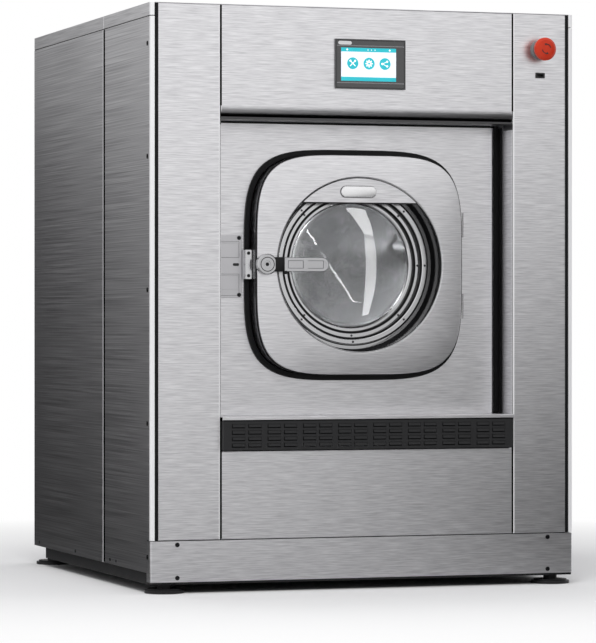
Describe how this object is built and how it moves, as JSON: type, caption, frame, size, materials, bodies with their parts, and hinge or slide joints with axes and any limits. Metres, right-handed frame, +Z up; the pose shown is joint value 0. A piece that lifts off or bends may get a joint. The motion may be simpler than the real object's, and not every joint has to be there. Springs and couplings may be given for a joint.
{
  "type": "washer-extractor",
  "caption": "Free-standing front-loading washer-extractor with a brushed stainless cabinet, round glass door, sprung tub, belt-driven drum and touch screen.",
  "frame": {"origin": "centre of the footprint, on the floor under the levelling pads", "axes": "+Z up, -Y towards the user who faces the door, +X to the right of that user"},
  "size_m": [1.204, 1.32, 1.553],
  "materials": {
    "stainless": "horizontally brushed, satin",
    "polished_stainless": "polished",
    "drum_stainless": "smooth mill finish",
    "frame_paint": "dark powder coat",
    "machined_steel": "turned and ground",
    "grey_iron": "machined casting",
    "motor_paint": "semi gloss paint",
    "spring_steel": "black coated wire",
    "black_rubber": "matt EPDM",
    "black_plastic": "fine textured",
    "grey_plastic": "satin",
    "white_plastic": "satin",
    "red_plastic": "glossy",
    "screen": "lit display under glass",
    "door_glass": "clear borosilicate"
  },
  "bodies": {
    "cabinet": {"base_frame": "frame_paint", "levelling_feet": "black_plastic", "upper_frame": "frame_paint", "skirt_panel": "stainless", "column_panels": "stainless", "upper_front_panel": "stainless", "lower_front_panel": "stainless", "recess_surround": "stainless", "recessed_panel": "stainless", "panel_seals": "black_rubber", "front_bulkhead": "frame_paint", "opening_gasket": "black_rubber", "vent_grille": "black_plastic", "side_panels": "stainless", "top_covers": "stainless", "rear_panel": "stainless", "cabinet_screws": "machined_steel", "screen_bezel": "black_plastic", "screen_glass": "screen", "stop_collar": "grey_plastic", "service_socket": "black_plastic", "control_box": "grey_plastic", "inlet_valves": "white_plastic", "drain_valve": "grey_plastic", "drain_bellows": "black_rubber", "door_boot": "black_rubber", "lock_cover": "stainless", "strike_plate": "polished_stainless", "hinge_brackets": "machined_steel", "hinge_pins": "machined_steel", "damper_cylinders": "frame_paint", "suspension_springs": "spring_steel"},
    "tub": {"tub_shell": "drum_stainless", "tub_front": "drum_stainless", "tub_back": "drum_stainless", "tub_brackets": "frame_paint", "bearing_housing": "grey_iron", "drum_bearings": "machined_steel", "motor": "motor_paint", "drive_belts": "black_rubber", "damper_rods": "machined_steel"},
    "drum": {"drum_shell": "drum_stainless", "lifters": "drum_stainless", "drum_spider": "machined_steel", "drum_pulley": "grey_iron"},
    "motor_rotor": {"motor_pulley": "grey_iron"},
    "door": {"door_shell_panel": "stainless", "door_liner": "stainless", "door_rings": "polished_stainless", "door_glass": "door_glass", "glass_seal": "black_rubber", "crown_plate": "stainless", "hinge_leaves": "machined_steel", "latch_case": "frame_paint"},
    "handle": {"handle_hub": "polished_stainless", "handle_lever": "polished_stainless"},
    "bolt": {"latch_bolt": "machined_steel"},
    "stop_plunger": {"stop_stem": "grey_plastic"},
    "stop_button": {"stop_head": "red_plastic"}
  },
  "joints": [
    {"name": "tub_float", "type": "slide", "parent": "cabinet", "child": "tub", "axis": [0, 0, 1], "range_m": [-0.012, 0.012], "stiffness_N_per_m": 200000, "springref_m": 0.01744, "deforming": ["suspension_springs", "drain_bellows"]},
    {"name": "drum_spin", "type": "hinge", "parent": "tub", "child": "drum", "pos_m": [-0.0025, -0.114, 0.867], "axis": [0, 1, 0], "continuous": true},
    {"name": "motor_spin", "type": "hinge", "parent": "tub", "child": "motor_rotor", "pos_m": [0.2295, 0.408, 0.292], "axis": [0, 1, 0], "continuous": true},
    {"name": "door_swing", "type": "hinge", "parent": "cabinet", "child": "door", "pos_m": [0.3, -0.544, 0.867], "axis": [0, 0, 1], "range_deg": [0, 120]},
    {"name": "handle_turn", "type": "hinge", "parent": "door", "child": "handle", "pos_m": [-0.2705, -0.574, 0.867], "axis": [0, 1, 0], "range_deg": [0, 80]},
    {"name": "bolt_throw", "type": "slide", "parent": "door", "child": "bolt", "axis": [-1, 0, 0], "range_m": [0, 0.01415]},
    {"name": "stop_push", "type": "slide", "parent": "cabinet", "child": "stop_plunger", "axis": [0, 1, 0], "range_m": [0, 0.006]},
    {"name": "stop_twist", "type": "hinge", "parent": "stop_plunger", "child": "stop_button", "pos_m": [0.504, -0.644, 1.454], "axis": [0, 1, 0], "range_deg": [0, 45], "stiffness_Nm_per_rad": 0.05}
  ],
  "couplings": [
    {"joint": "motor_spin", "follows": "drum_spin", "ratio": 4},
    {"joint": "bolt_throw", "follows": "handle_turn", "m_per_rad": 0.0101}
  ]
}
